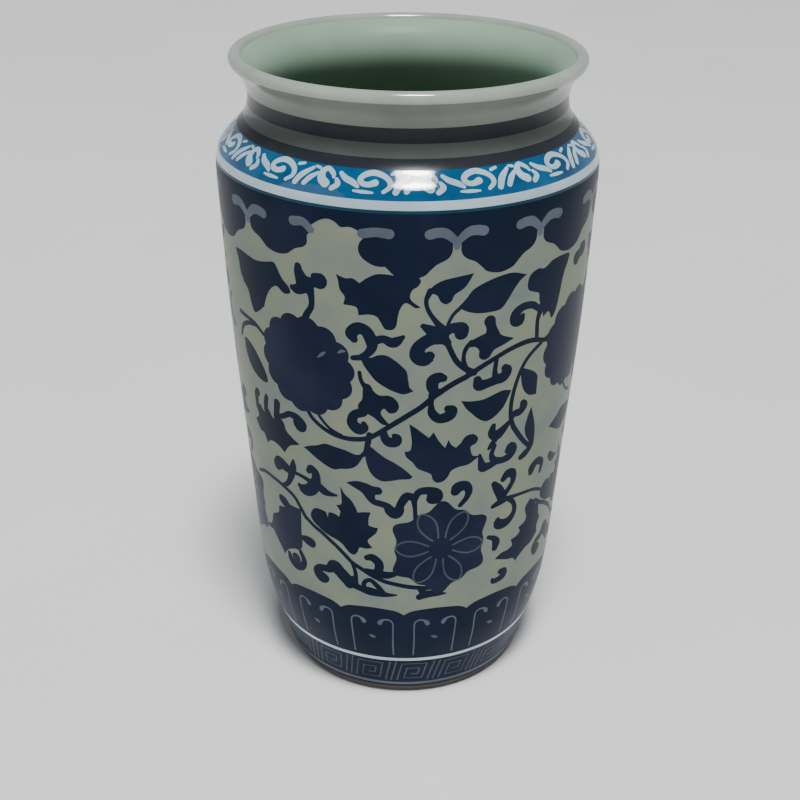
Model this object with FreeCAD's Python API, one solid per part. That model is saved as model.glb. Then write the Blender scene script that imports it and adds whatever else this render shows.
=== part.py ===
"""Porcelain brush pot: a tall shouldered jar with a short flared neck.

Units are millimetres, +Z is up and the origin is the centre of the circle that the
foot rests on.  The pot is built as sections that are thrown, turned and luted together
with slip, so each section is a solid of its own and neighbours meet face to face at
level butt joints.
"""
import FreeCAD, Part
import os

# Overall size
HEIGHT = 200.0
LIP_RADIUS = 51.2

# Foot and base
FOOT_HEIGHT = 3.0
FOOT_INNER_RADIUS = 33.5
FOOT_EDGE_RADIUS = 38.6
FOOT_BEVEL = 0.8
BASE_RADIUS = 30.0
BASE_TOP = 9.0

# Levels of the butt joints between the thrown sections
WAIST_JOINT = 62.0
SHOULDER_JOINT = 166.0
NECK_JOINT = 186.3
LIP_JOINT = 194.0

# Outer profile above the foot, as (radius, height), from the heel up to the lip
HEEL = [(39.8, FOOT_HEIGHT), (42.4, 12.0), (44.2, 18.0)]
BODY = [(46.3, 26.0), (48.3, 40.0), (49.8, 60.0), (51.6, 85.0), (53.6, 112.0), (55.1, 140.0)]
SHOULDER = [(55.9, 160.0), (56.1, 168.0), (55.6, 172.0), (53.6, 175.5), (50.0, 179.0)]
NECK = [(47.3, 182.6), (46.2, 187.0), (46.7, 191.0), (48.4, 194.4)]
FLARE = [(50.94, 197.08)]

# Inner profile, as (radius, height), from the edge of the inside floor up to the lip
INNER_FLOOR = [(BASE_RADIUS, BASE_TOP), (34.3, 10.0), (37.0, 12.8), (38.7, 18.0)]
INNER_BODY = [(41.4, 27.0), (43.6, 41.0), (45.2, 61.0), (47.0, 86.0), (49.0, 113.0), (50.5, 141.0)]
INNER_SHOULDER = [(51.2, 158.0), (51.3, 166.0), (50.3, 172.0), (47.4, 177.0)]
INNER_NECK = [(44.5, 181.0), (42.3, 185.6), (41.7, 190.0), (43.2, 194.6), (47.37, 198.55)]

# Top of the rounded lip, as (radius, height)
LIP_TOP = (49.25, HEIGHT)


def point(radius, height):
    """A point of the profile half plane."""
    return FreeCAD.Vector(radius, 0.0, height)


def smooth_curve(stations):
    """One smooth edge through every (radius, height) station."""
    curve = Part.BSplineCurve()
    curve.interpolate([point(radius, height) for radius, height in stations])
    return curve.toShape()


def straight(start, end):
    """A straight edge between two (radius, height) corners."""
    return Part.makeLine(point(*start), point(*end))


def outline(corners):
    """The flat face inside a closed outline of straight sides."""
    following = corners[1:] + corners[:1]
    edges = [straight(start, end) for start, end in zip(corners, following)]
    return Part.Face(Part.Wire(edges))


def rectangle(inner, outer, low, high):
    """The part of the half section between two radii and two heights."""
    return outline([(inner, low), (outer, low), (outer, high), (inner, high)])


def turned(face):
    """The solid swept by a half section turned once about the pot's axis."""
    return face.revolve(FreeCAD.Vector(0, 0, 0), FreeCAD.Vector(0, 0, 1), 360)


def wall_section():
    """The half section of the wall, from the base disc and the foot's top to the lip."""
    outer = HEEL + BODY + SHOULDER + NECK + FLARE
    inner = INNER_FLOOR + INNER_BODY + INNER_SHOULDER + INNER_NECK
    lip = Part.Arc(point(*outer[-1]), point(*LIP_TOP), point(*inner[-1])).toShape()
    edges = [
        smooth_curve(outer),
        lip,
        smooth_curve(inner),
        straight(INNER_FLOOR[0], (BASE_RADIUS, FOOT_HEIGHT)),
        straight((BASE_RADIUS, FOOT_HEIGHT), HEEL[0]),
    ]
    return Part.Face(Part.Wire(edges))


def foot_section():
    """The half section of the turned foot, with both lower edges bevelled."""
    inner, outer = FOOT_INNER_RADIUS, FOOT_EDGE_RADIUS
    return outline([
        (inner, FOOT_HEIGHT),
        (inner, FOOT_BEVEL),
        (inner + FOOT_BEVEL, 0.0),
        (outer - FOOT_BEVEL, 0.0),
        (outer, FOOT_BEVEL),
        HEEL[0],
    ])


def thrown(section, low, high):
    """The thrown section of the wall between two butt joints."""
    slab = rectangle(0.0, 2 * LIP_RADIUS, low, high)
    return turned(section.common(slab).Faces[0])


def build():
    """Every section of the pot, by node name."""
    wall = wall_section()
    disc = rectangle(0.0, BASE_RADIUS, FOOT_HEIGHT, BASE_TOP)
    return {
        "foot_ring": turned(foot_section()),
        "base_floor": turned(disc),
        "lower_body": thrown(wall, FOOT_HEIGHT, WAIST_JOINT),
        "upper_body": thrown(wall, WAIST_JOINT, SHOULDER_JOINT),
        "shoulder": thrown(wall, SHOULDER_JOINT, NECK_JOINT),
        "neck_collar": thrown(wall, NECK_JOINT, LIP_JOINT),
        "rim_lip": thrown(wall, LIP_JOINT, 2 * HEIGHT),
    }


os.makedirs("parts", exist_ok=True)
for node, shape in build().items():
    shape.exportStep(f"parts/{node}.step")
    box = shape.BoundBox
    print(f"{node}: {shape.Volume:.0f} mm3, z {box.ZMin:.2f} to {box.ZMax:.2f}")
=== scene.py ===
"""Porcelain brush pot, painted in underglaze blue.

The painting is inlaid: each section's outer skin is cut along the brushwork's outlines,
so ground, cobalt and reserved lines are neighbouring pieces of one smooth surface.
Motifs are placed by (angle in degrees, height in mm); angle 0 faces -Y and +90 faces +X.
"""
import math
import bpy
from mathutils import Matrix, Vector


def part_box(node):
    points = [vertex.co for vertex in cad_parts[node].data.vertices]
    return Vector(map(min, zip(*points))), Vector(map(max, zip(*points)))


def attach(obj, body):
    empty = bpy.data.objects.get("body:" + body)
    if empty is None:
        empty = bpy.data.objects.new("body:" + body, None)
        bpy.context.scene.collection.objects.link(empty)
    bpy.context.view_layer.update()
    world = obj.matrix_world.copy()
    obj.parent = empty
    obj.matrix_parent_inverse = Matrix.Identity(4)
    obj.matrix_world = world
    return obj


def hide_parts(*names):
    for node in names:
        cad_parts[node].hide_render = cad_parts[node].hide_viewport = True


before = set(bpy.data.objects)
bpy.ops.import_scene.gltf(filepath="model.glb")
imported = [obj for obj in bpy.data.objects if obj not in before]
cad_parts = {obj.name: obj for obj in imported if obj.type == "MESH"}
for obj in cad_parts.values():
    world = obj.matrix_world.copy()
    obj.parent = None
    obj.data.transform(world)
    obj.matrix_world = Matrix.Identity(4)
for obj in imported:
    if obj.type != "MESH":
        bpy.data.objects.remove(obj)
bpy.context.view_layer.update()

from copy import copy

import bpy
import numpy as np
from mathutils import Matrix, Vector
from mathutils.geometry import delaunay_2d_cdt

MM = 0.001
DEG = math.pi / 180.0
FLAT_RADIUS = 53.0          # mm per radian in the flat drawing of the body
STEP = 0.5                  # spacing of points along a brush outline, mm

# ---------------------------------------------------------------- profile (radius, height)
OUTER = [(39.8, 3.0), (42.4, 12.0), (44.2, 18.0),
         (46.3, 26.0), (48.3, 40.0), (49.8, 60.0), (51.6, 85.0), (53.6, 112.0), (55.1, 140.0),
         (55.9, 160.0), (56.1, 168.0), (55.6, 172.0), (53.6, 175.5), (50.0, 179.0),
         (47.3, 182.6), (46.2, 187.0), (46.7, 191.0), (48.4, 194.4), (50.94, 197.08)]
INNER = [(30.0, 9.0), (34.3, 10.0), (37.0, 12.8), (38.7, 18.0),
         (41.4, 27.0), (43.6, 41.0), (45.2, 61.0), (47.0, 86.0), (49.0, 113.0), (50.5, 141.0),
         (51.2, 158.0), (51.3, 166.0), (50.3, 172.0), (47.4, 177.0),
         (44.5, 181.0), (42.3, 185.6), (41.7, 190.0), (43.2, 194.6), (47.37, 198.55)]
LIP_CENTRE = (49.25, 198.05)


def spline_through(stations, per_span=24):
    """Points of the smooth curve (C2, natural ends) through the stations."""
    p = np.array(stations, float)
    t = np.concatenate([[0.0], np.cumsum(np.hypot(*np.diff(p, axis=0).T))])
    h = np.diff(t)
    n = len(p)
    lhs = np.eye(n)
    rhs = np.zeros((n, p.shape[1]))
    for i in range(1, n - 1):
        lhs[i, i - 1:i + 2] = h[i - 1], 2 * (h[i - 1] + h[i]), h[i]
        rhs[i] = 6 * ((p[i + 1] - p[i]) / h[i] - (p[i] - p[i - 1]) / h[i - 1])
    bend = np.linalg.solve(lhs, rhs)
    out = []
    for i in range(n - 1):
        for u in np.linspace(0, 1, per_span, endpoint=False):
            a, b = 1 - u, u
            out.append(a * p[i] + b * p[i + 1]
                       + ((a ** 3 - a) * bend[i] + (b ** 3 - b) * bend[i + 1]) * h[i] ** 2 / 6)
    out.append(p[-1])
    return np.array(out)


outer_curve = spline_through(OUTER)
outer_slope = np.gradient(outer_curve[:, 0], outer_curve[:, 1])
inner_curve = spline_through(INNER)
outer_run = np.concatenate([[0.0], np.cumsum(np.hypot(*np.diff(outer_curve, axis=0).T))])


def outer_radius(height):
    return np.interp(height, outer_curve[:, 1], outer_curve[:, 0])


def run_at(height):
    """Distance along the outer profile at a height."""
    return float(np.interp(height, outer_curve[:, 1], outer_run))


def height_at(run):
    return np.interp(run, outer_run, outer_curve[:, 1])


# ---------------------------------------------------------------- brushwork in the flat
def divisions(start, end):
    """How many parts a span is cut into, so that its points lie about STEP apart."""
    return max(2, int(np.hypot(*(end - start)[:2]) / STEP) + 1)


def spans(p):
    """The Catmull-Rom spans between the rows of p but for its first and last row."""
    out = []
    for a, b, c, d in zip(p, p[1:], p[2:], p[3:]):
        u = np.linspace(0, 1, divisions(b, c), endpoint=False)[:, None]
        out.append(0.5 * (2 * b + (c - a) * u + (2 * a - 5 * b + 4 * c - d) * u ** 2
                          + (3 * b - a - 3 * c + d) * u ** 3))
    return out


def smooth_open(p):
    """A smooth curve through the rows of p (any number of columns), evenly divided."""
    if len(p) == 2:
        return np.linspace(p[0], p[1], divisions(p[0], p[1]))
    return np.vstack(spans(np.vstack([2 * p[0] - p[1], p, 2 * p[-1] - p[-2]])) + [p[-1:]])


def smooth_closed(p):
    """A smooth closed curve through the rows of p."""
    return np.vstack(spans(np.vstack([p[-1:], p, p[:2]])))


def flat(points, radius=FLAT_RADIUS):
    """(angle, height, ...) rows to (across in mm, height, ...) rows."""
    p = np.array([tuple(q) for q in points], float)
    p[:, 0] *= DEG * radius
    return p


class Outline:
    """A filled shape inside a closed edge."""

    def __init__(self, edge, tone):
        self.edge = edge
        self.tone = tone

    def moved(self, across):
        twin = copy(self)
        twin.edge = self.edge + (across, 0.0)
        return twin

    def holds(self, q):
        """Which of the points q lie inside, by crossing count."""
        inside = np.zeros(len(q), bool)
        a = self.edge
        b = np.roll(a, -1, axis=0)
        for (ax, ay), (bx, by) in zip(a, b):
            if ay == by:
                continue
            cross = (ay > q[:, 1]) != (by > q[:, 1])
            x = ax + (q[:, 1] - ay) * (bx - ax) / (by - ay)
            inside ^= cross & (q[:, 0] < x)
        return inside


def filled(points, tone):
    """A filled shape through the points. (angle, height, 1) is a sharp corner."""
    corners = [i for i, q in enumerate(points) if len(q) > 2]
    p = flat([q[:2] for q in points])
    if not corners:
        return Outline(smooth_closed(p), tone)
    order = list(range(corners[0], len(p))) + list(range(corners[0] + 1))
    cuts = [order.index(c) for c in corners[1:]]
    cuts = [0] + cuts + [len(order) - 1]
    runs = [smooth_open(p[order[a:b + 1]])[:-1] for a, b in zip(cuts, cuts[1:])]
    return Outline(np.vstack(runs), tone)


class Stroke:
    """A brush stroke along (angle, height, half width in mm) points, round at both ends."""

    def __init__(self, points, tone, radius=FLAT_RADIUS, smooth=True):
        p = flat(points, radius)
        self.line = smooth_open(p) if smooth else p
        self.edge = self.traced()
        self.tone = tone

    def traced(self):
        """The closed edge round the stroke, with a half circle at each end."""
        c, w = self.line[:, :2], self.line[:, 2]
        t = np.gradient(c, axis=0)
        t /= np.hypot(*t.T)[:, None] + 1e-12
        side = np.stack([-t[:, 1], t[:, 0]], 1) * w[:, None]

        def cap(centre, half, start):
            n = max(3, int(math.pi * half / STEP))
            k = start - np.linspace(0, math.pi, n + 2)[1:-1]
            return centre + half * np.stack([np.cos(k), np.sin(k)], 1)

        head = math.atan2(side[-1, 1], side[-1, 0])
        tail = math.atan2(-side[0, 1], -side[0, 0])
        return np.vstack([c + side, cap(c[-1], w[-1], head), (c - side)[::-1],
                          cap(c[0], w[0], tail)])

    def moved(self, across):
        twin = copy(self)
        twin.line = self.line + (across, 0.0, 0.0)
        twin.edge = self.edge + (across, 0.0)
        return twin

    def holds(self, q):
        """Which of the points q lie under the brush."""
        inside = np.zeros(len(q), bool)
        for a, b in zip(self.line, self.line[1:]):
            ab = b[:2] - a[:2]
            u = np.clip((q - a[:2]) @ ab / (ab @ ab + 1e-12), 0, 1)
            away = np.hypot(*(q - a[:2] - u[:, None] * ab).T)
            inside |= away < a[2] + u * (b[2] - a[2])
        return inside


# ---------------------------------------------------------------- motifs of the main field
# Leaves, buds and other filled shapes
LEAVES = [
    # curled leaf above the crossing stems
    [(18.8, 152.6, 1), (13, 151.8), (9.5, 151), (7, 149.4), (6.1, 147.6), (7.4, 147.4),
     (8.6, 146.8), (9.4, 145.2), (11, 144.2), (12.6, 145), (13.5, 146.8), (16, 148.4),
     (17.5, 150.2)],
    # almond leaf at the top
    [(36.2, 149.2, 1), (31, 150.8), (26, 150.4), (21.8, 149.2), (18.8, 147.7), (17, 145.5),
     (14.8, 143.2, 1), (16.5, 141.8), (20, 140.6), (24, 140.3), (27.7, 140.6), (29.9, 142.8),
     (32, 145.8), (34, 148)],
    # winged bud on the rising stem
    [(18, 132), (20, 132.9), (23, 133.9), (26.5, 134.5), (29, 132.4), (33.3, 130.6, 1),
     (29.5, 129.3), (26.5, 128.3), (25, 126.3), (23.2, 125.8), (21.7, 127), (21.6, 129),
     (20.3, 130.3), (18.8, 130.5)],
    # almond leaf under the vine
    [(16.8, 113.7, 1), (20, 113.1), (24, 113), (28, 114), (31, 114.5), (34, 113.8, 1),
     (33, 111.5), (31.5, 108.8), (29.5, 107), (27.5, 105.8), (25.5, 105.5), (23, 106.7),
     (20.5, 109), (18.5, 111)],
    # almond leaf by the second vine
    [(37, 120.3, 1), (40, 118.9), (43, 117.2), (44.8, 115.2), (45, 112.5), (45.2, 109.1, 1),
     (42, 109.8), (39.7, 111.5), (38.2, 114), (37.4, 117)],
    # vine leaf at the right
    [(36.8, 146.8), (37.8, 148.9), (40.5, 149.9), (43, 149.4), (46.2, 150.9, 1), (50.2, 151.2),
     (54.9, 150.6), (54.7, 148.4), (53.4, 146.0), (52.4, 143), (51.6, 139), (50.4, 134.6),
     (48.6, 132.6), (46.8, 135.2), (44.4, 134.2, 1), (43.4, 137.5), (42, 140),
     (41.6, 142.2), (39.4, 143.2), (37.2, 144.4)],
    # broad lobed leaf over the middle
    [(-19.8, 151.8, 1), (-17, 151), (-15, 151.2), (-13, 150, 1), (-11, 151.6), (-8, 153),
     (-4, 152.9), (0, 152), (2, 153), (3.9, 151.5), (3.2, 149.8), (1.6, 148.6),
     (1, 146.6), (1.8, 145.2), (4, 143.6, 1), (2.5, 143.4), (0, 144.9), (-1.5, 143.5),
     (-2.3, 141), (-2.8, 138), (-4, 136.8), (-6, 137), (-7.2, 139), (-8.4, 140.6),
     (-10.5, 141), (-13.5, 140.5, 1), (-13.8, 142.5), (-15, 143.1), (-17.9, 143.2, 1),
     (-17.4, 145.5), (-18.8, 147.5), (-19.2, 150)],
    # almond leaf right of the round flower
    [(-13.2, 129), (-10.5, 127.9), (-8, 128.9), (-5.5, 128.9), (-3, 127.4), (-1, 125.6),
     (0.3, 124), (0.8, 121), (1.2, 119), (2.4, 117.9, 1), (-0.5, 116.9), (-3.5, 117.7),
     (-6.5, 119.2), (-9, 121), (-11, 123.5), (-12.6, 126)],
    # hooked leaf under it
    [(-12.5, 119.9, 1), (-10.5, 119.3), (-9.3, 117.3), (-7.5, 116.2), (-5, 116.3),
     (-3, 115.2), (-1.9, 113), (-2.8, 111), (-4.8, 110.6), (-6.4, 112), (-7.4, 110.4),
     (-5.8, 108), (-4.3, 106.4, 1), (-7, 106.8), (-9.5, 108.8), (-11.5, 109.8),
     (-13.8, 110), (-14.3, 112.5), (-13, 114.5), (-12.8, 117)],
    # pair of leaves hanging from the vine
    [(-34.6, 93.8, 1), (-32, 95), (-29, 96), (-26, 97.3), (-22.5, 97), (-19, 96.5),
     (-15.5, 95.6), (-12.6, 96.6, 1), (-14.2, 93.5), (-15.8, 91.5), (-18, 90.3),
     (-21, 89.7), (-23.5, 89), (-26.5, 89.8), (-30, 91.5), (-32.5, 92.9)],
    [(-12.3, 97.2), (-11, 99), (-8.5, 97.2), (-6, 95.4), (-3, 93.8), (0, 91.6),
     (2.5, 89.2, 1), (1.5, 88.4), (-1.5, 88.2), (-4, 87.7), (-7, 87.3), (-9.3, 88.2),
     (-11, 90), (-12, 92.5), (-12.5, 95)],
    # toothed leaf at the right of the middle
    [(1.2, 107.2, 1), (3.5, 105.6), (5.5, 103.9), (7.3, 102.4, 1), (8.7, 104.2, 1),
     (10, 101.8), (11.5, 99.7), (12.5, 98.6, 1), (13.5, 101.2, 1), (14.5, 99.4),
     (16, 98.2, 1), (17.5, 99.6), (19, 101.6), (21.5, 102), (23.3, 100.3), (22.6, 98.6),
     (21, 97.8), (21.2, 96), (22, 94.5), (24.4, 94, 1), (22.5, 92.8), (20.5, 91.7),
     (17, 91.3), (14.8, 90.3), (13.9, 88.5), (12.5, 87.1), (10.5, 86.7), (9, 87.8),
     (8.3, 89.8), (6.5, 90.8), (4, 92), (2.5, 94), (0.4, 96), (-0.2, 97.8, 1),
     (1.5, 98.3), (2, 100.5), (1.8, 103.5)],
    # narrow leaf ending the second vine
    [(43.6, 105.4, 1), (44.8, 102.5), (46.2, 99), (47, 95), (47, 91.4), (45.8, 89.6),
     (43.5, 88), (41, 87.7), (40.2, 89), (42, 90.3), (43.8, 91.2), (44.3, 93.2),
     (42.6, 95.6), (41.6, 98.5), (42.2, 102)],
    # toothed leaf left of the petalled flower
    [(-21.6, 83.6, 1), (-20, 81), (-18, 79.3), (-16.5, 77), (-15.8, 75.1, 1),
     (-13.5, 75.6), (-11.2, 75.8, 1), (-12, 73.5), (-12.1, 71, 1), (-10.5, 70.5),
     (-8.9, 70.4, 1), (-9.5, 68.5), (-11, 67), (-12.5, 65.4), (-12, 64),
     (-10.8, 62.8, 1), (-13, 62.2), (-15.5, 62.2), (-16.3, 60.5), (-17.5, 59.2),
     (-19, 59.4), (-20.6, 60.9, 1), (-22, 62.4), (-24, 63.4), (-26.5, 64.1), (-29, 65.1),
     (-31.5, 66.6), (-33, 67.6), (-34, 69.3), (-33.6, 71), (-32.5, 72.5), (-31, 73.1),
     (-29, 73), (-27.5, 72.6), (-26.9, 70.9, 1), (-26.3, 72.9), (-24, 72.9),
     (-22.6, 72.2, 1), (-22, 74.3), (-23.4, 76.3, 1), (-21.5, 77.1), (-21.3, 80)],
    # small leaf over the petalled flower
    [(-19.4, 85.3, 1), (-16, 86.4), (-13, 86.2), (-10.2, 85.3), (-8.2, 85.1),
     (-7.2, 83.8), (-8, 82.5), (-9.5, 82.3), (-9.5, 80.8), (-7.5, 79.8), (-8, 78.3),
     (-10.5, 78.8), (-12.5, 80.5), (-14, 82.5), (-16.5, 83.9)],
    # toothed leaf at the right edge
    [(34.3, 53.5, 1), (37, 54.9), (40, 55.1), (42.2, 56), (41.2, 58.5, 1), (44, 58.8),
     (45.6, 60), (44.6, 61.8, 1), (47.5, 62.5), (48.5, 64.2), (47.2, 68), (49.5, 70.6, 1),
     (52, 69.2), (53.5, 67.2), (56, 66), (57, 62), (58.4, 60, 1), (57, 57.5),
     (57.6, 54.5, 1), (54, 52.4), (50, 51.6), (46.5, 49.9), (45, 48.7, 1), (43.5, 50.5),
     (40, 51.4), (37, 52.5)],
    # broad leaf at the left
    [(-36, 94, 1), (-39, 95.4), (-41.5, 97), (-42.6, 99.6), (-45.4, 101.6, 1),
     (-47.6, 99.2), (-50, 101.6, 1), (-52.4, 99.6), (-55, 101.4, 1), (-57.4, 99.2),
     (-57, 96.6), (-59.6, 94.4, 1), (-57, 91.6), (-54.4, 91.4), (-53, 88.6, 1),
     (-50.4, 90.4), (-47, 90.4), (-43.4, 88.8, 1), (-42.2, 90.6), (-40.4, 92.3),
     (-38, 93.3)],
    # lobed leaf at the top left
    [(-61, 149.6, 1), (-57.4, 150), (-53, 149.6), (-48.6, 149.4), (-44.4, 150.2), (-41, 151),
     (-39.6, 149.6), (-38, 147), (-35.6, 145), (-35.2, 143.2), (-37.6, 142.6), (-40.4, 144),
     (-43, 142.4), (-45, 139.6), (-46.6, 136, 1), (-49.6, 133.6), (-52, 132.6), (-53.4, 134.8),
     (-54.6, 138.4), (-57, 140.4, 1), (-58.8, 143), (-59.4, 146.2)],
    # almond leaf at the left
    [(-61, 121.4, 1), (-58, 121.6), (-54, 119.6), (-50.4, 116), (-48.4, 112.4),
     (-49.4, 110.6), (-54, 110.9), (-58, 113), (-60.6, 117)],
]

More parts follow.
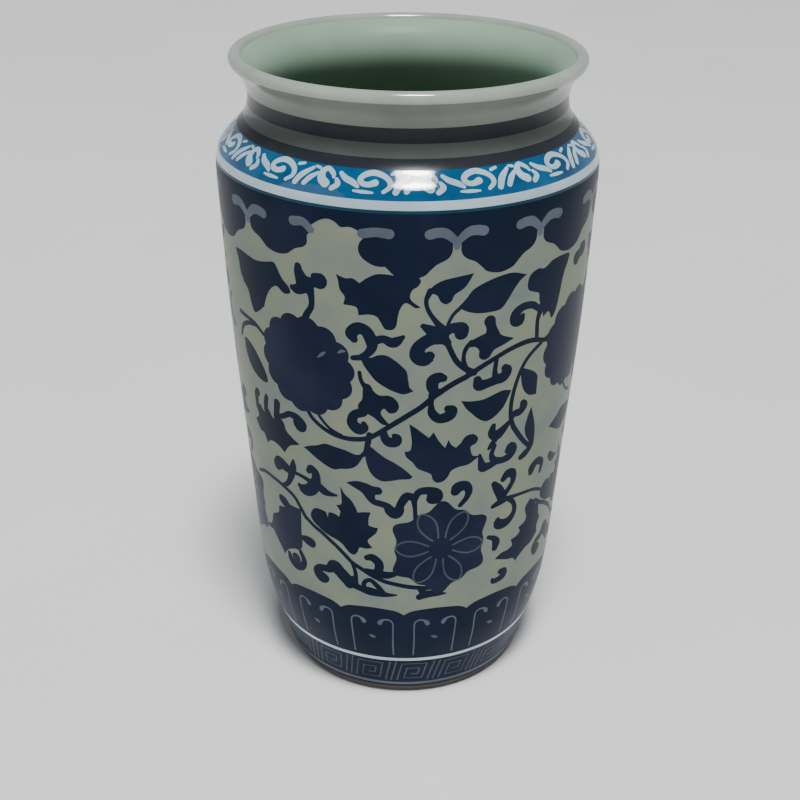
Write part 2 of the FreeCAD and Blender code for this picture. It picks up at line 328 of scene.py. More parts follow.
# Tendrils, hooks and stems as (angle, height, half width)
TENDRILS = [
    # main vine and its double start under the round flower
    [(-31.5, 107, 0.7), (-30, 105, 0.7), (-27, 102.9, 0.7), (-23, 101.3, 0.75),
     (-18, 100.7, 0.8), (-12.5, 101.4, 0.8), (-9, 103.2, 0.8), (-4.5, 106.4, 0.8),
     (0, 109.5, 0.85), (5, 112.9, 0.85), (9, 116.4, 0.9), (14, 119.5, 0.9),
     (18, 121.3, 0.9), (22, 123.4, 0.85), (27, 125.6, 0.8), (32, 127.3, 0.8),
     (37, 128.1, 0.85), (41, 127.9, 0.8), (45, 126.8, 0.7), (49.5, 125.6, 0.6)],
    [(-28.3, 108.4, 0.5), (-27, 105.8, 0.5), (-24, 103, 0.5), (-20, 101.2, 0.6)],
    # stem and curled leaf at the top
    [(6.6, 148.3, 0.9), (5.5, 145.5, 0.6), (6.2, 142.5, 0.6), (8.5, 139, 0.8),
     (10.8, 136.2, 1.4)],
    [(15.6, 143.1, 0.6), (13.3, 141, 0.5), (12, 138.5, 0.5), (11.8, 136.6, 0.7)],
    [(10.5, 135.6, 1.7), (13, 136.9, 1.5), (15.7, 136.4, 2.1), (15.9, 135, 1.9)],
    [(12, 132.6, 1.0), (9.5, 134.4, 2.2), (6.6, 133.8, 1.9), (3.7, 131.6, 1.9),
     (3.4, 129, 2.2), (5.2, 127.8, 2.1), (6.7, 128.8, 1.5)],
    [(4.8, 138, 0.8), (7, 136.6, 1.6), (9.5, 135, 2.0)],
    [(11, 134.5, 1.1), (12.5, 131, 0.8), (14.5, 127, 0.8), (17, 124.4, 0.9),
     (20.4, 122.2, 1.0)],
    [(24.5, 137.6, 1.7), (25.1, 135.6, 1.5), (25.6, 133, 2.3)],
    [(19, 131.9, 0.8), (17.5, 130.2, 0.7), (16.9, 128, 0.6), (17.2, 125.5, 0.7),
     (18.6, 122.6, 0.7)],
    # hooks that cross the vine like an S
    [(12.8, 119, 0.5), (9.6, 117.1, 1.2), (8, 118.6, 1.6), (8, 121, 1.8), (9.7, 121.9, 1.7),
     (11, 121.6, 1.2)],
    [(7.8, 116.6, 1.0), (7.6, 113.5, 0.8), (8.1, 110.5, 1.3), (10.3, 108.6, 1.5),
     (13.2, 109.3, 1.8), (14, 111, 1.7), (12.8, 111.7, 1.1)],
    [(21.6, 119.8, 1.2), (22.4, 117.9, 1.8), (25, 118, 1.5), (28, 118.6, 1.6),
     (30.6, 119, 1.8), (31.7, 120.7, 1.7), (30.8, 121.8, 1.2)],
    [(27.6, 125, 0.7), (27.3, 121.5, 0.8), (27.8, 119, 1.2)],
    # second vine, falling at the right
    [(48, 127.4, 0.5), (44, 125.6, 0.7), (40.5, 123.6, 0.7), (38, 121, 0.7),
     (36.3, 117.5, 0.7), (35, 113, 0.75), (34.5, 109, 0.75), (34.8, 105, 0.8),
     (36, 101.5, 0.85), (38.5, 98, 0.85), (41.5, 94.5, 0.8), (44.5, 91.7, 0.8)],
    [(34.9, 103.4, 0.7), (36.3, 105.3, 1.2), (38.5, 105.3, 1.3), (39.9, 107, 1.6),
     (39.3, 108.1, 1.1)],
    [(42.3, 137.3, 0.9), (39.2, 139.3, 1.1), (35.6, 139.5, 1.3), (33.2, 138, 1.6),
     (33.3, 136, 1.8), (35, 135.5, 1.5), (35.7, 136.8, 0.9)],
    [(43.5, 138, 1.4), (42.1, 134, 0.8), (42.3, 130, 0.8), (42.6, 127.6, 0.7)],
    # three buds over the round flower
    [(-26.6, 150, 1.0), (-24.6, 149.6, 1.7), (-24.6, 148.2, 1.6), (-27, 148.2, 1.5),
     (-29.3, 147.4, 2.2)],
    [(-31.8, 152, 1.1), (-31.6, 150.2, 1.6), (-30.4, 147.6, 2.4)],
    [(-34.2, 145.2, 0.9), (-32.6, 145, 1.5), (-30, 146.4, 2.0)],
    [(-28.6, 147, 1.7), (-27.8, 143.6, 1.0), (-28, 140.8, 0.9), (-29.5, 138.4, 1.0),
     (-30.4, 136.4, 1.2)],
    # hooks between the round flower and the broad leaf
    [(-15, 133.1, 1.1), (-15.8, 134.8, 1.7), (-13.8, 136.6, 1.8), (-11.4, 135.9, 1.7),
     (-9.9, 133, 1.7), (-10, 130.5, 1.3), (-12.5, 128, 1.0), (-15.4, 127.3, 0.8)],
    [(-9.5, 133, 1.3), (-6.5, 133.9, 1.2), (-4, 132.9, 1.5), (-2.5, 133.5, 1.4),
     (-0.8, 134.8, 0.6)],
    [(-13, 110.2, 1.5), (-15.7, 108.9, 1.4), (-16.3, 106.2, 1.7), (-14.4, 104.5, 1.9),
     (-12.6, 105.2, 1.4), (-12.7, 106.5, 0.8)],
    [(-13.6, 123, 0.6), (-13.2, 120.6, 0.6), (-12, 118.5, 0.8)],
    [(-6.6, 104.8, 0.9), (-6.3, 102.6, 1.3), (-5, 101, 1.6), (-2.9, 101.2, 1.7),
     (-2.4, 102.6, 1.2), (-3.3, 103.2, 0.8)],
    # hooks under the round flower, at the left
    [(-46, 100.6, 0.8), (-42.5, 101.8, 0.9), (-39.5, 103.5, 1.0), (-36.5, 103.2, 1.5),
     (-34.5, 101.4, 1.9), (-35.5, 100.5, 1.8), (-37, 101.5, 1.0)],
    [(-45.8, 100, 1.4), (-45.3, 103, 1.3), (-44.8, 105.4, 1.4)],
    [(-57, 99.5, 1.0), (-56.8, 103.6, 1.2), (-55.6, 105.2, 1.3)],
    [(-51.6, 100.4, 1.0), (-50.9, 103.6, 1.1), (-50.2, 105.6, 0.9)],
    # stems of the leaf pair
    [(-11, 103, 0.9), (-11.6, 100, 0.9), (-12.3, 97, 0.8), (-13.5, 95.6, 0.7)],
    # hooks right of the middle toothed leaf
    [(28.4, 103.2, 0.9), (28.1, 101, 1.4), (29.9, 99.7, 1.8), (32, 100.9, 1.5),
     (34.4, 103, 0.8)],
    [(30, 98.8, 1.0), (28.2, 96.6, 0.9), (27.4, 95.6, 0.5)],
    [(29.5, 96.2, 0.8), (28.7, 93.2, 0.9), (30, 91.1, 1.2), (33, 90.3, 1.2),
     (36, 90.9, 1.5), (37.2, 92.8, 1.7), (36, 94.2, 1.5), (34.9, 93, 1.0)],
    [(24.3, 94.2, 0.5), (25.2, 91, 1.2), (26, 89.5, 1.6), (28.5, 89.7, 1.3),
     (31, 90.3, 1.0)],
    # three-armed bud at the left
    [(-33.3, 85.8, 1.0), (-32.2, 87.1, 1.2), (-30.7, 86, 1.5), (-30.5, 83.5, 1.7),
     (-31.6, 81, 2.2), (-33.6, 78.9, 2.1), (-36, 78.3, 1.9), (-37.8, 79.1, 0.9)],
    [(-30.6, 82.4, 1.2), (-28, 80.4, 1.5), (-25.8, 79.8, 1.0), (-23, 79.8, 0.4)],
    [(-40.8, 83.2, 0.6), (-36.4, 82.9, 0.7), (-33.5, 82.3, 0.9)],
    [(-46.5, 75.8, 0.8), (-43.5, 78, 0.9), (-41.5, 81.4, 1.3), (-40.1, 85, 1.4),
     (-39.7, 87.2, 0.6)],
    [(-41.6, 82.6, 1.3), (-44, 83.6, 1.9), (-46.8, 84.1, 2.2), (-48.2, 82.8, 2.0)],
    # lower vine
    [(-63, 74.4, 0.6), (-57, 76.4, 0.7), (-50, 76.4, 0.7), (-45.4, 75.6, 0.75),
     (-41, 73.9, 0.75), (-38.8, 71.4, 0.75), (-36.2, 67.8, 0.75)],
    [(-37, 68.6, 0.7), (-33, 66, 0.75), (-30, 64.6, 0.75), (-27, 62.8, 0.75),
     (-24, 60.8, 0.75), (-21, 58.3, 0.75), (-18.5, 56.1, 0.75), (-15, 54.2, 0.75),
     (-11, 52.1, 0.75), (-7, 50.5, 0.75), (-3, 49.6, 0.75), (1, 48.8, 0.8),
     (5, 48.3, 0.8), (9, 48, 0.8), (14, 48.6, 0.8), (19, 50.4, 0.8)],
    # hooks over the petalled flower
    [(-9, 79.5, 1.1), (-6, 78.7, 1.2), (-4.7, 77.1, 1.8), (-3, 76, 1.9), (-1.8, 77.2, 1.6),
     (-1.5, 78.8, 1.3), (-0.5, 80.8, 1.4), (0.9, 82.4, 1.4), (3.2, 81.6, 1.2)],
    [(3.7, 73.5, 0.7), (3.4, 78, 0.7), (3.2, 81, 1.0), (4.6, 83.7, 1.2), (7.5, 84.1, 1.4),
     (10.2, 83, 1.8), (10.4, 81.2, 1.9), (8.6, 80.9, 1.5), (8.2, 82, 1.0)],
    [(18.7, 77.6, 0.8), (20.8, 80, 1.0), (21.4, 82.4, 1.3), (20, 84.4, 1.6),
     (17.5, 84.1, 2.0), (16.8, 82.9, 1.6)],
    # joint of the right-hand vine
    [(30.8, 82.4, 1.0), (32.3, 80.5, 1.6), (34, 78, 1.8), (35, 75.8, 1.8)],
    [(35.5, 77, 1.1), (37.5, 79, 1.1), (39, 81.5, 1.1), (38.4, 83.9, 1.5),
     (36.2, 84.6, 1.6), (34.6, 83.2, 1.2)],
    [(31.2, 74.1, 0.8), (33.5, 74.8, 1.2), (36, 75.3, 1.3)],
    [(36, 75.3, 1.1), (41, 75, 0.7), (46, 74.4, 0.6), (51, 73.4, 0.6), (56, 71.2, 0.6),
     (60, 68.6, 0.6)],
    [(37.8, 75, 0.9), (40.4, 72.6, 0.9), (41.2, 69.5, 1.1), (39.4, 66.9, 1.5),
     (36.5, 66.2, 1.8), (34.2, 66.9, 1.8), (33.8, 68.3, 1.1)],
    [(53.6, 79, 0.8), (54, 82, 1.2), (51, 83.7, 1.4), (48.3, 82.4, 1.8), (48, 81.2, 1.5)],
    [(30.5, 63, 0.7), (33, 61.8, 1.0), (34.1, 60, 1.6), (33.8, 58, 1.2)],
    # bottom row
    [(34, 45.7, 0.6), (34.6, 44.8, 1.0), (37, 44.8, 1.2), (39.2, 45.6, 1.5),
     (39.2, 47.1, 1.5), (37.4, 47.7, 1.0)],
    [(5.6, 44.6, 1.2), (7.5, 45.4, 1.5), (10, 45.6, 1.3), (12.5, 45.3, 0.9),
     (15.2, 45.1, 0.3)],
    [(5.6, 48, 0.9), (7, 46.2, 1.3)],
    [(-30.8, 48.6, 0.9), (-29.4, 47.2, 1.4), (-31.5, 46.6, 1.6), (-33.2, 48.8, 1.5),
     (-31.5, 50.7, 1.3), (-28, 51.3, 1.5), (-25.5, 53, 2.4), (-23.5, 51.5, 2.3),
     (-21, 49.2, 2.3), (-20, 47.5, 1.8)],
    [(-21, 49.3, 1.6), (-18.5, 49, 1.9), (-17.4, 50.5, 0.9), (-17.5, 53, 0.7),
     (-18.4, 56, 0.7)],
    [(-18.5, 47.7, 1.5), (-15.5, 46.6, 1.2), (-12.5, 46.1, 1.6), (-8, 45.5, 1.2),
     (-5, 45.3, 0.7), (-2.6, 45.4, 0.3)],
    [(-14.4, 46.5, 0.9), (-14.2, 49.2, 0.8), (-12, 50.4, 0.8), (-9.5, 48.4, 0.9),
     (-7.4, 46.0, 0.9)],
    [(-13, 58.8, 1.0), (-11, 59.1, 1.4), (-8.9, 57.3, 1.5), (-8.8, 55, 1.5),
     (-10, 53.7, 1.2), (-13.5, 54.3, 0.5)],
    [(-9.5, 53.4, 1.5), (-6.5, 52.9, 1.4), (-4, 53.3, 1.1), (-1.5, 54.2, 0.5)],
    [(-39.2, 59.5, 0.8), (-36.6, 59.3, 1.7), (-34.7, 59, 1.8)],
    [(-41, 69, 1.0), (-44, 68.8, 1.2), (-46.5, 69.8, 1.9), (-48, 70.3, 1.6)],
    [(-40.5, 53.6, 0.9), (-39, 50.4, 1.2), (-40.4, 47.8, 1.3), (-43.5, 46.9, 1.5),
     (-46.2, 48.1, 1.3), (-46.8, 50.2, 1.0)],
    [(-53, 57, 1.0), (-57, 56, 1.0), (-60, 55.4, 0.6)],
    # stems beyond the left edge
    [(-48, 126.6, 0.6), (-52, 128.6, 0.7), (-56, 129.2, 0.7), (-62, 129.4, 0.8)],
    [(-52, 128.4, 0.6), (-57, 127.4, 0.7), (-61, 125, 0.7), (-63, 121.6, 0.7)],
]

# Flower shapes, painted in the second, more violet wash
FLOWER_LEAF = [(-38.2, 70.2, 1), (-39.0, 62), (-39.2, 56.4), (-41, 54), (-44, 53.2),
               (-47.4, 51.4), (-49.8, 48.8, 1), (-51.8, 50.8), (-54, 52.8), (-58, 56.2, 1),
               (-56.4, 58.8), (-55, 61.8), (-51.2, 64), (-50.2, 66.8), (-47.4, 67.6),
               (-45, 69.6), (-42, 69.8)]
FLOWER_BUD = [(-43.2, 49.9, 2.0), (-43.0, 49.9, 2.0)]
ROUND_FLOWERS = (-32.0, 63.5)
ROUND_FLOWER_HEIGHT = 121.8
PETAL_FLOWER = (12.6, 62.6)

GROUND, COBALT, VIOLET, WASH, FAINT, RING_PAINTED_SHADE, TEAL, TURQUOISE, WHITE = range(9)
TONES = ("ground", "cobalt", "violet", "wash", "faint", "ring_painted_shade", "teal", "turquoise", "white")


def polar(centre, radius_at, count, tone):
    """A closed outline about centre with radius radius_at(direction) in mm."""
    k = np.linspace(0, 2 * math.pi, count, endpoint=False)
    r = radius_at(k)
    x = centre[0] * DEG * FLAT_RADIUS + r * np.cos(k)
    return Outline(np.stack([x, centre[1] + r * np.sin(k)], 1), tone)


def round_flower(angle):
    """The scalloped round bloom."""
    lobes = 14

    def radius(k):
        return 14.4 + 1.3 * np.abs(np.sin(0.5 * lobes * (k + 0.16))) ** 0.8

    centre = (angle, ROUND_FLOWER_HEIGHT)
    return polar(centre, radius, 220, VIOLET)


def petal_flower(angle, height):
    """The bloom with six outlined petals between six broad dark lobes."""

    def radius(k):
        return 15.4 + 1.3 * np.cos(6 * k - math.pi) + 0.7 * np.cos(12 * k)

    shapes = [polar((angle, height), radius, 200, VIOLET)]
    for i in range(6):
        turn = math.pi / 3 * i - 0.05
        side = []
        for along, across in ((4.0, 1.0), (6.6, 2.1), (9.8, 2.8), (12.8, 2.0), (14.5, 0.0),
                              (12.8, -2.0), (9.8, -2.8), (6.6, -2.1), (4.0, -1.0)):
            x = along * math.cos(turn) - across * math.sin(turn)
            y = along * math.sin(turn) + across * math.cos(turn)
            side.append((angle + x / (DEG * FLAT_RADIUS), height + y, 0.30))
        shapes.append(Stroke(side, FAINT))
    return shapes


def ruyi_border():
    """Cloud heads hanging from the shoulder line, and the pale forks between them."""
    forks = [-51.3, 13.6, 39.9, 69.5, 99.1]
    gap_left, gap_right = -27.2, -12.0
    spans = [(-51.3, gap_left), (gap_right, 13.6), (13.6, 39.9), (39.9, 69.5), (69.5, 99.1),
             (99.1, 128.7)]
    top = EDGE_LOW
    half = [(0.0, top, 1), (0.0, 162.8, 1), (0.085, 161.4), (0.09, 159.6), (0.14, 158.0),
            (0.24, 156.9), (0.42, 155.8), (0.56, 154.2), (0.70, 152.6), (1.0, 151.7)]
    shapes = [filled([(-10, 163.2), (-12.2, 162.4), (-13.2, 160.4), (-12.8, 158.2),
                      (-11, 156.4), (-8, 155.2), (-5, 156), (-5, 162)], COBALT)]
    for low, high in spans:
        centre, reach = (low + high) / 2, (high - low) / 2
        lift = 0.3 if low < gap_left else 0.0
        left = [(low + t * reach, z + lift * max(0.0, 160.0 - z)) + tuple(sharp)
                for t, z, *sharp in half]
        right = [(2 * centre - q[0],) + tuple(q[1:]) for q in left[:-1]][::-1]
        shapes.append(filled(left + right, COBALT))
    shapes.append(filled([(gap_left - 2, top, 1), (gap_left - 2, 162.7, 1), (-25, 166.0),
                          (-22, 167.2), (-19.6, 166.6), (-18, 165.4), (-15, 165.6),
                          (gap_right + 1, 163.7, 1), (gap_right + 2, top, 1)], COBALT))
    for fork in forks:
        for hand in (-1, 1):
            arm = [(fork, 160.6, 0.9), (fork, 161.6, 0.9), (fork + hand * 1.4, 163.2, 1.1),
                   (fork + hand * 3.4, 164.6, 1.35), (fork + hand * 5.6, 164.8, 1.4),
                   (fork + hand * 7.4, 164.4, 1.4)]
            shapes.append(Stroke(arm, WASH))
    shapes.append(Stroke([(-27.0, 163.4, 1.1), (-29.4, 165.2, 1.2), (-32.6, 164.9, 1.35)],
                         WASH))
    shapes.append(Stroke([(-12.0, 164.2, 1.3), (-8.4, 164.8, 1.3), (-4.8, 164.5, 1.4)],
                         WASH))
    return shapes


def main_field():
    """Everything painted between the lappets and the shoulder line, over half the pot."""
    shapes = [filled(points, COBALT) for points in LEAVES]
    shapes += [Stroke(points, COBALT) for points in TENDRILS]
    # The painter repeats the middle of the front a quarter turn on, round the side
    repeated = []
    for shape in shapes:
        reach = shape.edge[:, 0] / (DEG * FLAT_RADIUS)
        if reach.mean() > -28.5 and reach.max() < 28.0:
            repeated.append(shape.moved(90.0 * DEG * FLAT_RADIUS))
    shapes += repeated
    shapes += [filled(FLOWER_LEAF, VIOLET), Stroke(FLOWER_BUD, VIOLET)]
    shapes += [round_flower(angle) for angle in ROUND_FLOWERS]
    angle, height = PETAL_FLOWER
    shapes += petal_flower(angle, height) + petal_flower(angle + 90.0, height)
    # brush marks left pale inside the round flower
    shapes += [Stroke([(-26.6, 125.6, 0.25), (-25.2, 126.8, 0.5), (-24.2, 127.6, 0.25)], WASH),
               Stroke([(-19.9, 128.2, 0.25), (-18.9, 128.9, 0.45), (-17.9, 129, 0.25)], WASH)]
    return shapes + ruyi_border()


# ---------------------------------------------------------------- bands of pattern
# Levels of the bands from the foot up, in mm
FOOT_TOP = 3.0
HEEL_LINE_LOW = 3.9
HEEL_LINE_HIGH = 5.1
FRET_HIGH = 16.3
LAPPET_LOW = 17.7
FIELD_LOW = 42.0
EDGE_LOW = 170.0
LINE_LOW = 170.8
LINE_HIGH = 173.1
SCROLL_LOW = 173.6
SCROLL_HIGH = 179.5
DARK_HIGH = 182.0
NECK_BAND_LOW = 185.6
NECK_BAND_HIGH = 189.7

# Joints between the sections
WAIST_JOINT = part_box("upper_body")[0][2] / MM
SHOULDER_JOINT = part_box("shoulder")[0][2] / MM
NECK_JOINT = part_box("neck_collar")[0][2] / MM
LIP_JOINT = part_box("rim_lip")[0][2] / MM

# How often each pattern repeats round the pot
LAPPETS = 15
FRETS = 19
SCROLLS = 12
FIELDS = 2

# Radius at which the fret and the scroll are drawn flat, in mm
FRET_RADIUS = float(outer_radius(11.0))
SCROLL_RADIUS = 52.0


def lappet_band():
    """One lappet: its rounded top, its bracket lines and its dots."""
    half = 180.0 / LAPPETS
    top = [(-half, 37.4, 1), (-half + 2.2, 38.6), (-half + 5, 39.3), (0, 39.8), (half - 5, 39.3),
           (half - 2.2, 38.6), (half, 37.4, 1)]
    shapes = [filled([(-half, LAPPET_LOW, 1)] + top + [(half, LAPPET_LOW, 1)], COBALT)]
    for hand in (-1, 1):
        shapes.append(Stroke([(hand * 8.0, 19.4, 0.30), (hand * 7.9, 26, 0.28),
                              (hand * 8.0, 32.6, 0.28), (hand * 7.6, 34.4, 0.28),
                              (hand * 6.2, 35.2, 0.3), (hand * 4.6, 35.1, 0.35)], WASH))
        shapes.append(Stroke([(hand * 4.4, 35.0, 0.4), (hand * 3.4, 34.2, 0.75),
                              (hand * 3.0, 33.5, 0.8)], WASH))
    shapes.append(Stroke([(-0.9, 27.8, 0.4), (0.0, 27.5, 0.65), (0.9, 27.2, 0.35)], WASH))
    return shapes


def fret_band():
    """One unit of the key fret: two leaning bars and a square spiral."""
    half = 180.0 / FRETS
    lean = 0.27

    def at(u, height, width=0.30):
        return (u - half + lean * (height - 11.0), height, width)

    bars = [[at(1.0, 6.2), at(1.0, 15.4)], [at(3.5, 6.2), at(3.5, 15.4)]]
    spiral = [at(6.2, 6.4), at(6.2, 14.6), at(17.0, 14.6), at(17.0, 7.2), at(9.0, 7.2),
              at(9.0, 12.4), at(14.4, 12.4), at(14.4, 9.4), at(11.6, 9.4)]
    return [Stroke(line, FAINT, FRET_RADIUS, smooth=False) for line in bars + [spiral]]


def scroll_band():
    """One unit of the rolling-wave scroll, drawn in distance along the shoulder's slope."""
    low = run_at(SCROLL_LOW)
    wave = [(-9.2, 4.2, 1.0), (-10.9, 3.6, 0.8), (-12.7, 3.8, 0.75), (-13.6, 5.1, 0.8),
            (-12.2, 6.5, 0.85), (-9.6, 7.1, 0.85), (-6.8, 6.3, 0.8), (-5.0, 4.8, 0.75),
            (-4.9, 3.1, 0.65), (-6.6, 1.7, 0.5)]
    spray = [[(-3.2, 1.7, 0.8), (-1.8, 4.2, 0.9), (1.0, 6.6, 0.5)],
             [(-0.2, 1.9, 0.7), (1.2, 3.8, 0.8), (3.0, 5.3, 0.5)],
             [(-4.4, 6.9, 0.5), (-2.6, 7.4, 0.4)], [(1.8, 7.2, 0.35), (3.2, 6.9, 0.45)],
             [(-9.6, 1.4, 0.3), (-12.4, 1.5, 0.5), (-15.0, 1.6, 0.3)]]
    crest = [(6.4, 2.7, 1.2), (4.8, 3.9, 1.15), (4.4, 5.9, 0.95), (5.9, 7.1, 0.7),
             (7.9, 5.8, 0.65), (8.4, 4.7, 0.4)]
    hook = [(8.6, 1.6, 0.7), (10.1, 2.9, 0.8), (9.4, 4.3, 0.5)]
    trail = [(10.2, 6.3, 0.55), (12.0, 4.9, 0.85), (14.4, 3.9, 0.85), (16.0, 2.8, 0.5)]
    strokes = [wave, crest, hook, trail] + spray
    return [Stroke([(x, low + y, half) for x, y, half in stroke], WHITE, SCROLL_RADIUS)
            for stroke in strokes]


def inlay(shapes, turns, low, high, rows, base_tone, radius=FLAT_RADIUS):
    """Cuts one repeat of a band along its brushwork.

    Later shapes are painted over earlier ones, and base_tone(y) is what they are painted on.
    Returns the corners (angle, second coordinate), the triangles, the second coordinate of
    each triangle's middle and each triangle's tone.
    """
    width = 2 * math.pi * radius / turns
    left, right = -width / 2, width / 2
    painted = []
    for shape in shapes:
        for shift in (-width, 0.0, width):
            x = shape.edge[:, 0] + shift
            if x.max() > left and x.min() < right:
                painted.append(shape.moved(shift) if shift else shape)
    points, edges = [], []

    def chain(line, closed):
        start = len(points)
        points.extend(Vector(q) for q in line)
        count = len(line)
        edges.extend((start + i, start + i + 1) for i in range(count - 1))
        if closed:
            edges.append((start + count - 1, start))

    columns = max(2, round(360.0 / turns / 2.0))
    across = np.linspace(left, right, columns + 1)
    for y in rows:
        chain([(x, y) for x in across], False)
    for x in (left, right):
        chain([(x, y) for y in np.linspace(low, high, 2 + int((high - low) / 1.5))], False)
    for shape in painted:
        chain(shape.edge, True)
    verts, _, faces, *_ = delaunay_2d_cdt(points, edges, [], 0, 1e-4)
    v = np.array([tuple(q) for q in verts])
    f = np.array([tuple(q) for q in faces])
    c = v[f].mean(axis=1)
    area = np.abs(np.cross(v[f[:, 1]] - v[f[:, 0]], v[f[:, 2]] - v[f[:, 0]]))
    keep = (c[:, 0] > left) & (c[:, 0] < right) & (c[:, 1] > low) & (c[:, 1] < high)
    keep &= area > 1e-7
    f, c = f[keep], c[keep]
    tone = np.array([base_tone(y) for y in c[:, 1]])
    for shape in painted:
        e = shape.edge
        near = ((c[:, 0] > e[:, 0].min()) & (c[:, 0] < e[:, 0].max())
                & (c[:, 1] > e[:, 1].min()) & (c[:, 1] < e[:, 1].max()))
        index = np.nonzero(near)[0]
        tone[index[shape.holds(c[index])]] = shape.tone
    v[:, 0] /= DEG * radius
    return v, f, c[:, 1], tone


# ---------------------------------------------------------------- mesh helpers
def new_piece(name, verts, faces, normals, material, slot, *nodes):
    """Adds one piece; normals, where given, are the smooth surface's own."""
    mesh = bpy.data.meshes.new(name)
    mesh.from_pydata([tuple(q) for q in verts], [], [tuple(map(int, q)) for q in faces])
    mesh.validate()
    mesh.shade_smooth()
    mesh.materials.append(material)
    piece = bpy.data.objects.new(name, mesh)
    bpy.context.scene.collection.objects.link(piece)
    if normals is not None:
        mesh.normals_split_custom_set_from_vertices([tuple(q) for q in normals])
    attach(piece, "root")
    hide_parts(*nodes)
    return piece


def wrap(angle, height):
    """Flat drawing to the outer skin: positions in metres and outward normals."""
    a = angle * DEG
    r = outer_radius(height)
    slope = np.interp(height, outer_curve[:, 1], outer_slope)
    n = 1 / np.hypot(1, slope)
    pos = np.stack([r * np.sin(a), -r * np.cos(a), height], 1) * MM
    nor = np.stack([n * np.sin(a), -n * np.cos(a), -slope * n], 1)
    return pos, nor


def turned(name, profile, material, slot, node, segments=180, closed=False):
    """A surface turned about the axis from (radius, height) points."""
    p = np.array(profile, float)
    n = len(p)
    a = np.linspace(0, 2 * math.pi, segments, endpoint=False)
    verts = []
    for k in a:
        verts += [(r * math.sin(k) * MM, -r * math.cos(k) * MM, z * MM) for r, z in p]
    faces = []
    for i in range(segments):
        j = (i + 1) % segments
        for k in range(n if closed else n - 1):
            m = (k + 1) % n
            faces.append((i * n + k, j * n + k, j * n + m, i * n + m))
    return new_piece(name, verts, faces, None, material, slot, node)


# ---------------------------------------------------------------- materials
class Nodes:
    """Short names for building a node tree."""

    def __init__(self, name):
        self.material = bpy.data.materials.new(name)
        self.material.use_nodes = True
        self.tree = self.material.node_tree
        self.shader = self.tree.nodes["Principled BSDF"]

    def add(self, kind, **sockets):
        node = self.tree.nodes.new(kind)
        for key, value in sockets.items():
            node.inputs[key.replace("_", " ")].default_value = value
        return node

    def link(self, source, target):
        self.tree.links.new(source, target)

    def noise(self, scale, detail=4.0, roughness=0.55):
        where = self.add("ShaderNodeTexCoord")
        node = self.add("ShaderNodeTexNoise", Scale=scale, Detail=detail, Roughness=roughness)
        self.link(where.outputs["Object"], node.inputs["Vector"])
        return node.outputs["Fac"]

    def ramp(self, factor, stops):
        node = self.add("ShaderNodeValToRGB")
        band = node.color_ramp
        while len(band.elements) < len(stops):
            band.elements.new(0.5)
        for element, (where, colour) in zip(band.elements, stops):
            element.position = where
            element.color = (*colour, 1.0)
        self.link(factor, node.inputs["Fac"])
        return node.outputs["Color"]

    def bump(self, height, strength, distance):
        node = self.add("ShaderNodeBump", Strength=strength, Distance=distance)
        self.link(height, node.inputs["Height"])
        self.link(node.outputs["Normal"], self.shader.inputs["Normal"])


def glazed(name, stops, scale, gloss=0.5, rough=0.12):
    """A glossy glaze whose colour drifts between the stops, over faint orange peel."""
    n = Nodes(name)
    n.link(n.ramp(n.noise(scale), stops), n.shader.inputs["Base Color"])
    n.shader.inputs["Roughness"].default_value = rough
    n.shader.inputs["Specular IOR Level"].default_value = gloss
    n.bump(n.noise(420.0, 2.0), 0.06, 0.0002)
    return n.material


def biscuit(name):
    """Bare fired clay, dry and slightly gritty, painted dark as the shade the foot stands in."""
    n = Nodes(name)
    grain = n.noise(900.0, 6.0, 0.7)
    n.link(n.ramp(grain, [(0.3, (0.036, 0.031, 0.026)), (0.7, (0.080, 0.070, 0.058))]),
           n.shader.inputs["Base Color"])
    n.shader.inputs["Roughness"].default_value = 0.85
    n.bump(grain, 0.25, 0.0003)
    return n.material


SATIN = {"gloss": 0.05, "rough": 0.34}          # glazes of the body
POLISHED = {"gloss": 0.8, "rough": 0.07}        # the turquoise and the white
GLAZE = [(0.28, (0.165, 0.205, 0.195)), (0.5, (0.205, 0.240, 0.190)),
         (0.72, (0.245, 0.270, 0.180))]
MATERIALS = {
    GROUND: glazed("glaze_ground", GLAZE, 60.0, **SATIN),
    COBALT: glazed("glaze_cobalt", [(0.25, (0.0036, 0.0100, 0.022)), (0.5, (0.006, 0.0125, 0.031)),
                                    (0.75, (0.012, 0.0175, 0.042))], 45.0, **SATIN),
    VIOLET: glazed("glaze_violet", [(0.25, (0.006, 0.011, 0.028)), (0.5, (0.011, 0.016, 0.040)),
                                    (0.75, (0.020, 0.026, 0.052))], 45.0, **SATIN),
    WASH: glazed("glaze_wash", [(0.3, (0.078, 0.097, 0.125)), (0.7, (0.118, 0.138, 0.168))],
                 90.0, **SATIN),
    FAINT: glazed("glaze_faint", [(0.3, (0.038, 0.054, 0.076)), (0.7, (0.070, 0.090, 0.112))],
                  90.0, **SATIN),
    # The pale ground ring between the dark rings, painted dark grey: painted shade under the
    # neck's flare.
    RING_PAINTED_SHADE: glazed("glaze_ring_painted_shade", [(0.3, (0.058, 0.070, 0.066)), (0.7, (0.085, 0.095, 0.085))],
                  50.0, 0.3, 0.18),
    TEAL: glazed("glaze_teal", [(0.3, (0.001, 0.024, 0.046)), (0.7, (0.002, 0.050, 0.080))], 80.0,
                 0.3, 0.2),
    TURQUOISE: glazed("glaze_turquoise", [(0.3, (0.0008, 0.048, 0.135)),
                                          (0.7, (0.002, 0.110, 0.240))], 80.0, **POLISHED),
    WHITE: glazed("glaze_white", [(0.3, (0.34, 0.46, 0.52)), (0.7, (0.48, 0.60, 0.65))], 60.0,
                  **POLISHED),
}
RIM = glazed("glaze_rim", [(0.3, (0.160, 0.180, 0.150)), (0.7, (0.215, 0.228, 0.190))], 60.0,
             0.3, 0.16)
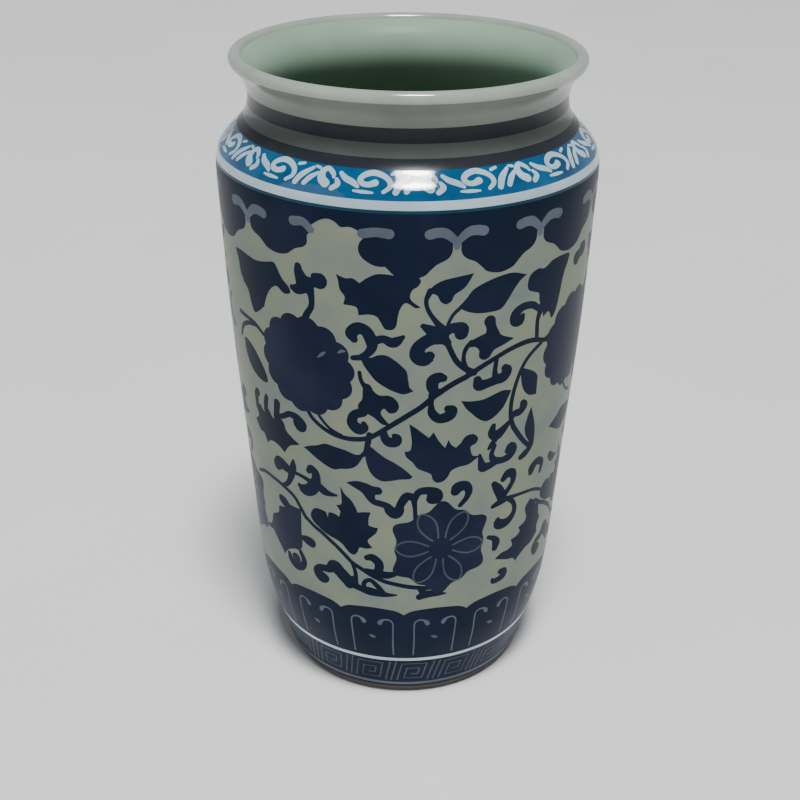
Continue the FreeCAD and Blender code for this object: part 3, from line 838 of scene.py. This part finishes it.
# The lip's glaze is painted paler than the rim's glaze: a painted highlight along the lip's crest.
LIP_GLAZE_PAINTED_HIGHLIGHT = glazed("glaze_lip_painted_highlight", [(0.3, (0.290, 0.335, 0.292)), (0.7, (0.380, 0.425, 0.370))],
              60.0, 0.8, 0.08)
# The dark rings on the shoulder and neck are real cobalt bands; their greyed, blackish tone is a
# painted dark reflection.
DARK_RING_PAINTED_REFLECTION = glazed("glaze_dark_ring_painted_reflection", [(0.3, (0.015, 0.020, 0.027)), (0.7, (0.028, 0.031, 0.036))], 50.0,
              0.14, 0.24)
LINING = glazed("glaze_lining", [(0.25, (0.215, 0.335, 0.245)), (0.75, (0.305, 0.430, 0.320))],
                24.0, 0.08, 0.34)
# The foot's bare clay is painted near black-brown: painted shade for the shadow round the foot.
BISCUIT_PAINTED_SHADE = biscuit("biscuit_clay_painted_shade")
SLOTS = {GROUND: "glaze", COBALT: "cobalt_glaze", VIOLET: "cobalt_glaze", WASH: "glaze",
         FAINT: "cobalt_glaze", RING_PAINTED_SHADE: "glaze", TEAL: "cobalt_glaze", TURQUOISE: "cobalt_glaze",
         WHITE: "glaze"}


# ---------------------------------------------------------------- outer skin
def section_of(height):
    """The CAD node that the outer skin belongs to at a height."""
    for limit, node in ((WAIST_JOINT, "lower_body"), (SHOULDER_JOINT, "upper_body"),
                        (NECK_JOINT, "shoulder"), (LIP_JOINT, "neck_collar")):
        if height < limit:
            return node
    return "rim_lip"


def rows_between(low, high, gap, *through):
    """Levels from low to high no more than gap apart that include every one in through."""
    stops = sorted({low, high, *through})
    levels = []
    for a, b in zip(stops, stops[1:]):
        n = max(1, math.ceil((b - a) / gap))
        levels += [a + (b - a) * i / n for i in range(n)]
    return levels + [high]


def heel_tone(y):
    if HEEL_LINE_LOW < y < HEEL_LINE_HIGH:
        return WASH
    return COBALT if y < FRET_HIGH else WHITE


def field_tone(y):
    return TEAL if y > EDGE_LOW else GROUND


def shoulder_tone(run):
    y = float(height_at(run))
    if y < LINE_HIGH:
        return WHITE
    if y < SCROLL_HIGH:
        return TURQUOISE
    if y < DARK_HIGH:
        return VIOLET
    # Between the dark rings the ground is painted dark grey as shade under the neck.
    return RING_PAINTED_SHADE if y < NECK_BAND_LOW else VIOLET


def neck_tone(y):
    return VIOLET if y < NECK_BAND_HIGH else GROUND


skin = {}


def collect(band, turns, in_run=False, start=0.0):
    """Repeats a cut band round the pot and files its triangles by section and tone.

    start is the angle at the middle of the first repeat.
    """
    v, f, middle, tone = band
    heights = height_at(v[:, 1]) if in_run else v[:, 1]
    middles = height_at(middle) if in_run else middle
    nodes = np.array([section_of(y) for y in middles])
    for node in dict.fromkeys(nodes):
        for one in sorted(set(tone[nodes == node])):
            chosen = f[(nodes == node) & (tone == one)]
            used, local = np.unique(chosen, return_inverse=True)
            local = local.reshape(chosen.shape)
            store = skin.setdefault((str(node), int(one)), [[], [], [], 0])
            for turn in range(turns):
                pos, nor = wrap(v[used, 0] + start + 360.0 / turns * turn, heights[used])
                store[0].append(pos)
                store[1].append(nor)
                store[2].append(local + store[3])
                store[3] += len(used)


heel_rows = rows_between(FOOT_TOP, LAPPET_LOW, 2.0, HEEL_LINE_LOW, HEEL_LINE_HIGH, FRET_HIGH)
collect(inlay(fret_band(), FRETS, FOOT_TOP, LAPPET_LOW, heel_rows, heel_tone, FRET_RADIUS),
        FRETS, start=1.8)

lappet_rows = rows_between(LAPPET_LOW, FIELD_LOW, 3.0)
collect(inlay(lappet_band(), LAPPETS, LAPPET_LOW, FIELD_LOW, lappet_rows, lambda y: GROUND),
        LAPPETS, start=180.0 / LAPPETS)

field_rows = rows_between(FIELD_LOW, LINE_LOW, 3.0, WAIST_JOINT, SHOULDER_JOINT, EDGE_LOW)
collect(inlay(main_field(), FIELDS, FIELD_LOW, LINE_LOW, field_rows, field_tone), FIELDS)

band_stops = [run_at(y) for y in (LINE_LOW, LINE_HIGH, SCROLL_HIGH, DARK_HIGH,
                                  NECK_BAND_LOW, NECK_JOINT)]
shoulder_rows = rows_between(band_stops[0], band_stops[-1], 0.7, *band_stops)
collect(inlay(scroll_band(), SCROLLS, band_stops[0], band_stops[-1], shoulder_rows,
              shoulder_tone, SCROLL_RADIUS), SCROLLS, in_run=True)

PLAIN_TURNS = 4
neck_rows = rows_between(NECK_JOINT, OUTER[-1][1], 0.7, NECK_BAND_HIGH, LIP_JOINT)
collect(inlay([], PLAIN_TURNS, NECK_JOINT, OUTER[-1][1], neck_rows, neck_tone), PLAIN_TURNS)

# Above the shoulder joint the plain ground and the dark rings have glazes of their own; the dark
# rings' cobalt is greyed towards black as a painted dark reflection
NECK_GLAZES = {GROUND: RIM, VIOLET: DARK_RING_PAINTED_REFLECTION}
for (node, tone), (pos, nor, tri, _) in skin.items():
    glaze = MATERIALS[tone]
    if node in ("shoulder", "neck_collar", "rim_lip"):
        glaze = NECK_GLAZES.get(tone, glaze)
    new_piece(f"{node}_{TONES[tone]}", np.vstack(pos), np.vstack(tri), np.vstack(nor), glaze,
              SLOTS[tone], node)

# ---------------------------------------------------------------- lip, lining, base, foot
def lip_profile(steps=12):
    """The rounded lip, swept about its centre from the outer profile to the inner."""
    (x0, y0), (x1, y1), (x, y) = OUTER[-1], INNER[-1], LIP_CENTRE
    start, start_reach = math.atan2(y0 - y, x0 - x), math.hypot(x0 - x, y0 - y)
    stop, stop_reach = math.atan2(y1 - y, x1 - x), math.hypot(x1 - x, y1 - y)
    lip = []
    for i in range(steps + 1):
        t = i / steps
        k = start + (stop - start) * i / steps
        reach = (1 - t) * start_reach + t * stop_reach
        lip.append((x + reach * math.cos(k), y + reach * math.sin(k)))
    return lip


def lining_profile(node):
    """The part of the inner profile that belongs to a section, from the top down."""
    low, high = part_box(node)[0][2] / MM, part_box(node)[1][2] / MM
    levels = inner_curve[:, 1]
    stations = [tuple(q) for q in inner_curve[(levels > low) & (levels < high)]]
    for joint in (low, high):
        if INNER[0][1] < joint < INNER[-1][1]:
            stations.append((float(np.interp(joint, levels, inner_curve[:, 0])), joint))
    return sorted(stations, key=lambda q: -q[1])


def disc_profile(radius, low, high):
    """The base disc, open only a hair's breadth round the axis."""
    pin = 0.02
    middle = (low + high) / 2
    under = [(pin, low), (0.4 * radius, low), (radius, low)]
    top = [(radius, high), (20.0, high), (8.0, high), (pin, high)]
    return under + [(radius, middle)] + top


# The lip bead wears the paler glaze, whose extra paleness is a painted highlight.
turned("rim_lip_bead", lip_profile(), LIP_GLAZE_PAINTED_HIGHLIGHT, "glaze", "rim_lip", 240)

for node in ("lower_body", "upper_body", "shoulder", "neck_collar", "rim_lip"):
    turned(f"{node}_lining", lining_profile(node), LINING, "glaze", node)

base_low, base_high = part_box("base_floor")
base_radius, base_under = base_high[0] / MM, base_low[2] / MM
turned("base_floor_disc", disc_profile(base_radius, base_under, base_high[2] / MM), LINING,
       "glaze", "base_floor", 144)
underside = [(base_radius, base_under), (33.0, base_under), (OUTER[0][0], base_under)]
turned("lower_body_underside", underside, LINING, "glaze", "lower_body", 144)

# The foot: its inner face and bevel, the flat it rests on, the outer bevel and the heel
foot = [(33.5, FOOT_TOP), (33.5, 0.8), (33.7, 0.3), (34.2, 0.0), (36.0, 0.0), (37.8, 0.0),
        (38.3, 0.3), (38.6, 0.8), (39.2, 1.9), (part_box("foot_ring")[1][0] / MM, FOOT_TOP)]
# The foot's clay colour is painted shade.
turned("foot_ring_turned", foot, BISCUIT_PAINTED_SHADE, "biscuit", "foot_ring", closed=True)

# ---------------------------------------------------------------- stage, light and camera
reach = 1.6     # from the axis to each side of the floor, m
floor_mesh = bpy.data.meshes.new("floor")
floor_mesh.from_pydata([(-reach, -reach, 0), (reach, -reach, 0), (reach, reach, 0),
                        (-reach, reach, 0)], [], [(0, 1, 2, 3)])
floor = bpy.data.objects.new("floor", floor_mesh)
bpy.context.scene.collection.objects.link(floor)
paper = Nodes("floor_paper")
paper.link(paper.ramp(paper.noise(6.0), [(0.3, (0.87, 0.87, 0.87)), (0.7, (0.91, 0.91, 0.91))]),
           paper.shader.inputs["Base Color"])
paper.shader.inputs["Roughness"].default_value = 0.9
floor_mesh.materials.append(paper.material)

world = bpy.data.worlds.new("studio")
world.use_nodes = True
sky = world.node_tree
toward = sky.nodes.new("ShaderNodeTexCoord")
upward = sky.nodes.new("ShaderNodeSeparateXYZ")
fade = sky.nodes.new("ShaderNodeValToRGB")
fade.color_ramp.elements[0].position = 0.05
fade.color_ramp.elements[0].color = (0.62, 0.64, 0.66, 1.0)
fade.color_ramp.elements[1].position = 0.75
fade.color_ramp.elements[1].color = (0.07, 0.08, 0.09, 1.0)
sky.links.new(toward.outputs["Generated"], upward.inputs["Vector"])
sky.links.new(upward.outputs["Z"], fade.inputs["Fac"])
sky.links.new(fade.outputs["Color"], sky.nodes["Background"].inputs["Color"])
sky.nodes["Background"].inputs["Strength"].default_value = 0.8
bpy.context.scene.world = world


def softbox(name, place, aim, width, depth, power, colour):
    """An oval area light at a place, turned towards what it lights."""
    light = bpy.data.lights.new(name, "AREA")
    light.shape = "ELLIPSE"
    light.size, light.size_y = width, depth
    light.energy = power
    light.color = colour
    lamp = bpy.data.objects.new(name, light)
    lamp.location = place
    direction = Vector(aim) - Vector(place)
    lamp.rotation_euler = direction.to_track_quat("-Z", "Y").to_euler()
    bpy.context.scene.collection.objects.link(lamp)


key_light = bpy.data.lights.new("overhead_key", "SUN")
key_light.energy = 2.6
key_light.angle = math.radians(17.0)
key = bpy.data.objects.new("overhead_key", key_light)
key.rotation_euler = Vector((-0.05, 0.31, -0.95)).to_track_quat("-Z", "Y").to_euler()
bpy.context.scene.collection.objects.link(key)
softbox("window_glint", (0.075, -0.42, 1.31), (0.0, -0.05, 0.177), 0.25, 0.15, 8.0,
        (1.0, 1.0, 1.0))
softbox("left_fill", (-0.9, -0.5, 0.7), (0.0, 0.0, 0.1), 0.8, 0.8, 0.8, (1.0, 0.98, 0.95))

camera_data = bpy.data.cameras.new("camera")
camera = bpy.data.objects.new("camera", camera_data)
bpy.context.scene.collection.objects.link(camera)
camera.location = (0.0, -0.3812, 0.2850)
tilt = Matrix.Rotation(math.radians(90.0 - 27.40), 3, "X")
roll = Matrix.Rotation(math.radians(0.5), 3, "Z")
camera.rotation_euler = (tilt @ roll).to_euler()
camera_data.sensor_width = 36.0
camera_data.lens = 59.85
camera_data.shift_x = -0.0069
camera_data.shift_y = -0.0008
camera_data.clip_start = 0.01
bpy.context.scene.camera = camera
